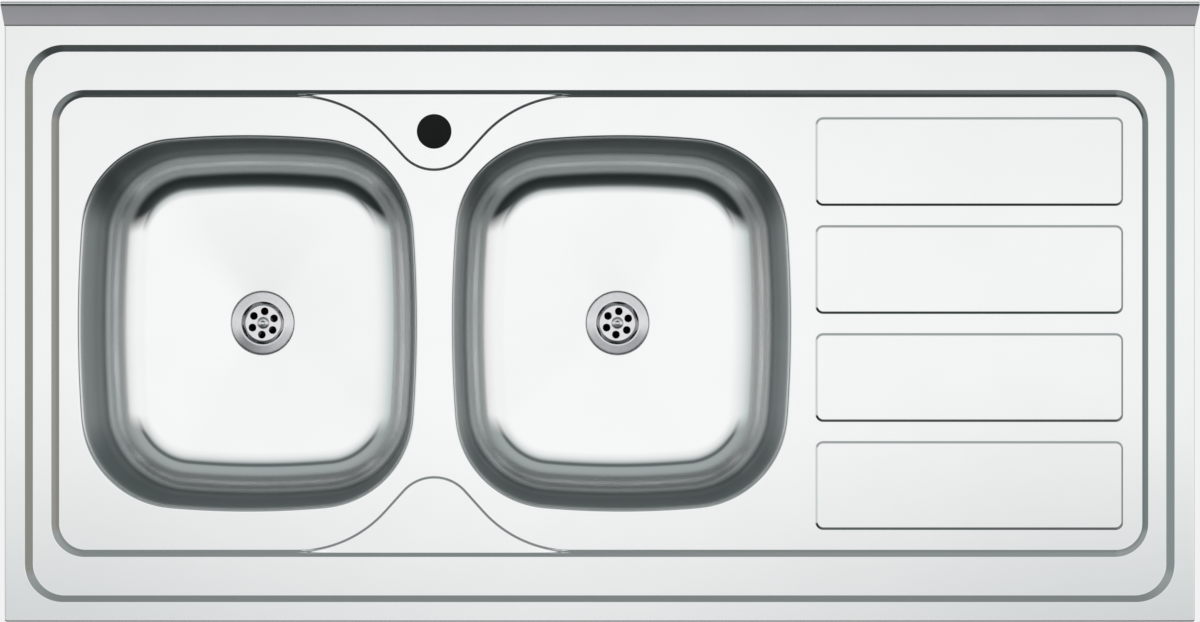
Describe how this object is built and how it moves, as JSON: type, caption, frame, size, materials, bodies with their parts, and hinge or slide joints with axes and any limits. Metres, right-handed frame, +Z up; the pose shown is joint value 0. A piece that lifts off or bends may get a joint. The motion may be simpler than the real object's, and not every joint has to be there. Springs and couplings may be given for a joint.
{
  "type": "double bowl kitchen sink",
  "caption": "Lay-on stainless steel kitchen sink with rounded bowls, tap ledge, raised-panel drainer, rear upstand and screwed strainer wastes.",
  "frame": {"origin": "middle of the front return flange's underside, the face that rests on the cabinet", "axes": "+X to the right along the front edge, towards the drainer; +Y to the rear, towards the upstand; +Z up"},
  "size_m": [1.196, 0.6218, 0.2539],
  "materials": {
    "satin_stainless": "satin pressed stainless steel",
    "polished_stainless": "polished stainless steel",
    "galvanised_steel": "dull galvanised",
    "damping_bitumen": "matt pressed bitumen sheet",
    "seal_rubber": "matt moulded rubber",
    "waste_plastic": "satin moulded polypropylene",
    "insert_brass": "turned brass"
  },
  "bodies": {
    "root": {"sink_top": "satin_stainless", "left_bowl": "satin_stainless", "right_bowl": "satin_stainless", "tap_hole_stiffener": "galvanised_steel", "drainer_stiffener_front": "galvanised_steel", "drainer_stiffener_rear": "galvanised_steel", "front_left_bracket": "galvanised_steel", "rear_left_bracket": "galvanised_steel", "front_right_bracket": "galvanised_steel", "rear_right_bracket": "galvanised_steel", "left_bowl_damping_pad": "damping_bitumen", "right_bowl_damping_pad": "damping_bitumen", "left_strainer": "polished_stainless", "right_strainer": "polished_stainless", "left_strainer_screw": "polished_stainless", "right_strainer_screw": "polished_stainless", "left_flange_seal": "seal_rubber", "right_flange_seal": "seal_rubber", "left_body_washer": "seal_rubber", "right_body_washer": "seal_rubber", "left_waste_body": "waste_plastic", "right_waste_body": "waste_plastic", "left_screw_insert": "insert_brass", "right_screw_insert": "insert_brass"}
  },
  "joints": []
}
